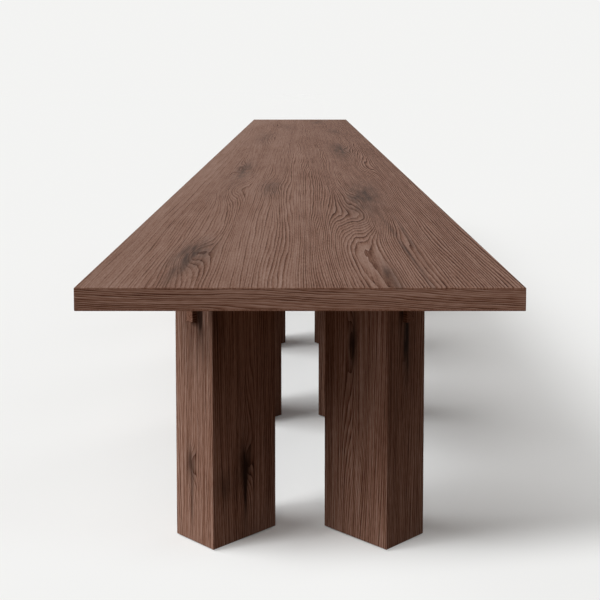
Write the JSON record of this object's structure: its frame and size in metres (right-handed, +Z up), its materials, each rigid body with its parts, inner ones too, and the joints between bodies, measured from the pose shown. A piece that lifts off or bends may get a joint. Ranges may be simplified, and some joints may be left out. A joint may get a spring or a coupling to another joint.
{
  "type": "pedestal dining table",
  "caption": "Long dark oak dining table: a square-edged top on pedestals of block legs turned diagonally, with thin arms bridled through the leg tops into hidden spines.",
  "frame": {"origin": "on the floor, under the middle of the top", "axes": "+Z up, +Y along the table away from the end seen in the picture, +X to the right from that end"},
  "size_m": [0.66, 6.34, 0.75],
  "materials": {
    "oak_top": "dark-stained, wire-brushed oak, matt",
    "oak_edge": "dark-stained, wire-brushed oak, matt",
    "oak_leg": "dark-stained, wire-brushed oak, matt",
    "oak_frame": "dark-stained oak, matt",
    "oak_backing": "dark-stained oak veneer, plain",
    "core_board": "raw board",
    "tongue_ply": "raw birch plywood",
    "steel_bracket": "black powder coat",
    "steel_fastener": "zinc plated",
    "glide_nylon": "dark brown nylon"
  },
  "bodies": {
    "root": {"top_face_near": "oak_top", "top_core_near": "core_board", "top_backing_near": "oak_backing", "side_lipping_near_left": "oak_edge", "side_lipping_near_right": "oak_edge", "top_face_middle": "oak_top", "top_core_middle": "core_board", "top_backing_middle": "oak_backing", "side_lipping_middle_left": "oak_edge", "side_lipping_middle_right": "oak_edge", "top_face_far": "oak_top", "top_core_far": "core_board", "top_backing_far": "oak_backing", "side_lipping_far_left": "oak_edge", "side_lipping_far_right": "oak_edge", "end_lipping_near": "oak_edge", "end_lipping_far": "oak_edge", "leg_1_left": "oak_leg", "arm_1_left": "oak_frame", "leg_1_right": "oak_leg", "arm_1_right": "oak_frame", "leg_2_left": "oak_leg", "arm_2_left": "oak_frame", "leg_2_right": "oak_leg", "arm_2_right": "oak_frame", "leg_3_left": "oak_leg", "arm_3_left": "oak_frame", "leg_3_right": "oak_leg", "arm_3_right": "oak_frame", "leg_4_left": "oak_leg", "arm_4_left": "oak_frame", "leg_4_right": "oak_leg", "arm_4_right": "oak_frame", "leg_5_left": "oak_leg", "arm_5_left": "oak_frame", "leg_5_right": "oak_leg", "arm_5_right": "oak_frame", "leg_6_left": "oak_leg", "arm_6_left": "oak_frame", "leg_6_right": "oak_leg", "arm_6_right": "oak_frame", "spine_near": "oak_frame", "spine_middle": "oak_frame", "spine_far": "oak_frame", "arm_pegs": "oak_frame", "leg_glides": "glide_nylon", "top_brackets": "steel_bracket", "bracket_screws": "steel_fastener", "seam_bolts": "steel_fastener", "seam_nuts": "steel_fastener", "seam_plates": "steel_fastener", "seam_tongues": "tongue_ply"}
  },
  "joints": []
}
